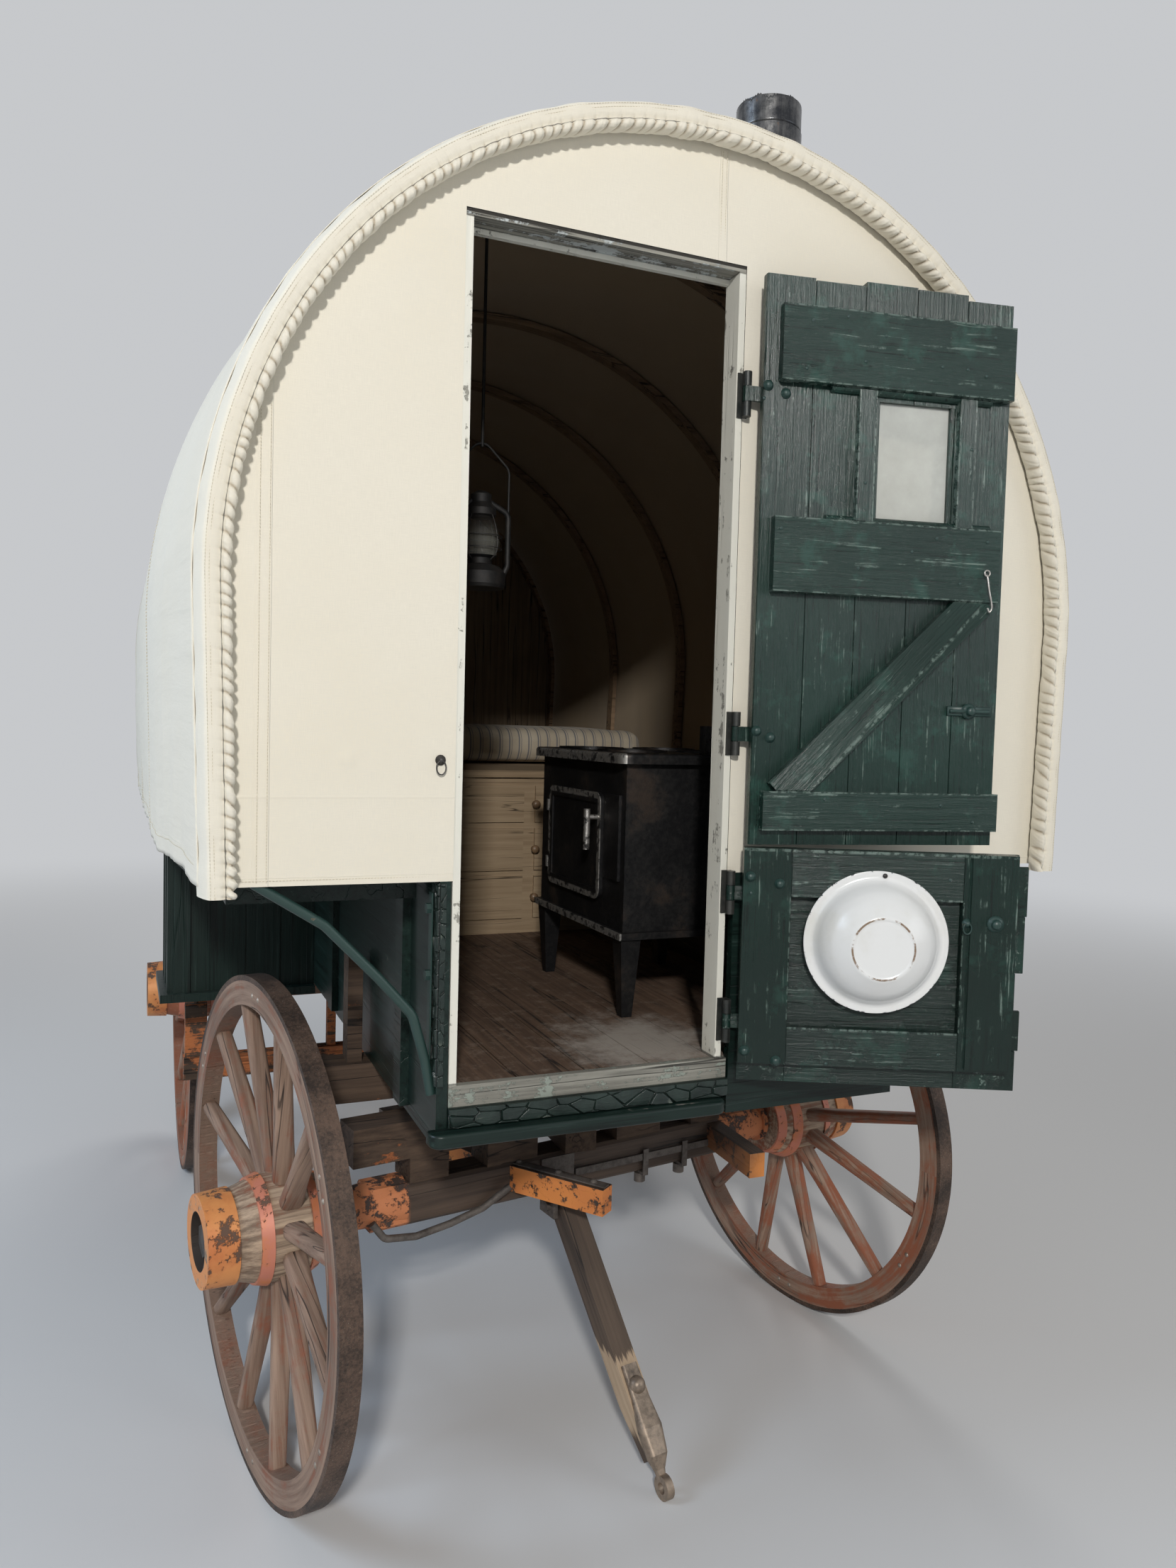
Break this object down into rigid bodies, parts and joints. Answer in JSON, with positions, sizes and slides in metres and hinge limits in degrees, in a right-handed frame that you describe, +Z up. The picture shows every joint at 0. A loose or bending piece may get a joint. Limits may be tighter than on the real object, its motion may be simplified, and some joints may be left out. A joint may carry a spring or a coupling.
{
  "type": "sheepherder's covered wagon",
  "caption": "Canvas-topped wooden wagon with a hollow cabin, a split door, a short steered tongue and dished spoked wheels with iron tyres.",
  "frame": {"origin": "on the floor, under the middle of the wagon's outline", "axes": "+X to the right seen from the door end, +Y towards the back along the wagon, +Z up"},
  "size_m": [2.044, 3.7022, 3.115],
  "materials": {
    "canvas": "stretched unbleached cotton duck, puckered at the hem",
    "green_wood": "old dark green paint over weathered boards",
    "white_wood": "worn white paint over weathered pine",
    "bare_wood": "weathered oak",
    "floor_wood": "scuffed floor boards",
    "wheel_wood": "bare weathered hickory and oak with a trace of orange",
    "orange_iron": "chipped orange paint over iron",
    "old_iron": "brown rusted iron",
    "grey_iron": "worn dark iron",
    "green_iron": "green paint over iron rod",
    "stove_iron": "blackened cast iron",
    "pipe_steel": "blued sheet steel",
    "bunk_wood": "tan painted boards",
    "glass": "old window glass",
    "enamel": "white enamel over sheet steel",
    "mattress": "striped ticking over straw",
    "lantern_tin": "blackened tin"
  },
  "bodies": {
    "root": {"box_floor": "floor_wood", "box_sills": "green_wood", "box_side_left": "green_wood", "box_side_right": "green_wood", "box_front": "green_wood", "box_back": "green_wood", "doorstep": "green_wood", "door_frame": "white_wood", "wing_left": "green_wood", "wing_right": "green_wood", "locker_left": "green_wood", "locker_right": "green_wood", "front_wall": "canvas", "back_wall": "green_wood", "back_glass": "glass", "bows": "bare_wood", "canvas_top": "canvas", "wing_braces": "green_iron", "stove": "stove_iron", "stovepipe": "pipe_steel", "bunk": "bunk_wood", "mattress": "mattress", "lantern": "lantern_tin", "front_bolster": "bare_wood", "rear_bolster": "bare_wood", "rear_axle": "bare_wood", "king_bolt": "grey_iron", "reach": "bare_wood", "brake_gear": "bare_wood", "door_hinges": "grey_iron"},
    "front_gear": {"front_axle": "bare_wood", "sand_board": "bare_wood", "wear_plate": "grey_iron", "front_hounds": "bare_wood", "tongue_irons": "grey_iron", "axle_irons": "old_iron"},
    "tongue": {"tongue": "bare_wood", "tongue_cap": "grey_iron"},
    "door_upper": {"door_upper": "green_wood", "door_glass": "glass"},
    "door_lower": {"door_lower": "green_wood", "basin": "enamel"},
    "front_left_wheel": {"front_left_wheel": "wheel_wood", "front_left_tyre": "old_iron", "front_left_hub_bands": "orange_iron"},
    "front_right_wheel": {"front_right_wheel": "wheel_wood", "front_right_tyre": "old_iron", "front_right_hub_bands": "orange_iron"},
    "rear_left_wheel": {"rear_left_wheel": "wheel_wood", "rear_left_tyre": "old_iron", "rear_left_hub_bands": "orange_iron"},
    "rear_right_wheel": {"rear_right_wheel": "wheel_wood", "rear_right_tyre": "old_iron", "rear_right_hub_bands": "orange_iron"}
  },
  "joints": [
    {"name": "steering", "type": "hinge", "parent": "root", "child": "front_gear", "pos_m": [0, -0.9339, 0.77], "axis": [0, 0, 1], "range_deg": [-29.4, 10.6]},
    {"name": "front_left_wheel_spin", "type": "hinge", "parent": "front_gear", "child": "front_left_wheel", "pos_m": [-0.7863, -1.06407, 0.559], "axis": [0.9866, 0.1633, 0], "continuous": true},
    {"name": "front_right_wheel_spin", "type": "hinge", "parent": "front_gear", "child": "front_right_wheel", "pos_m": [0.7863, -0.80373, 0.559], "axis": [0.9866, 0.1633, 0], "continuous": true},
    {"name": "rear_left_wheel_spin", "type": "hinge", "parent": "root", "child": "rear_left_wheel", "pos_m": [-0.842, 0.8791, 0.66], "axis": [1, 0, 0], "continuous": true},
    {"name": "rear_right_wheel_spin", "type": "hinge", "parent": "root", "child": "rear_right_wheel", "pos_m": [0.842, 0.8791, 0.66], "axis": [1, 0, 0], "continuous": true},
    {"name": "tongue_lift", "type": "hinge", "parent": "front_gear", "child": "tongue", "pos_m": [-0.04679, -1.03084, 0.497], "axis": [-0.9866, -0.1633, 0], "range_deg": [0, 46]},
    {"name": "upper_door_hinge", "type": "hinge", "parent": "root", "child": "door_upper", "pos_m": [0.088, -1.5649, 2], "axis": [0, 0, 1], "range_deg": [-169.4, 3]},
    {"name": "lower_door_hinge", "type": "hinge", "parent": "root", "child": "door_lower", "pos_m": [0.088, -1.5649, 1.2], "axis": [0, 0, 1], "range_deg": [-154.1, 14]}
  ]
}
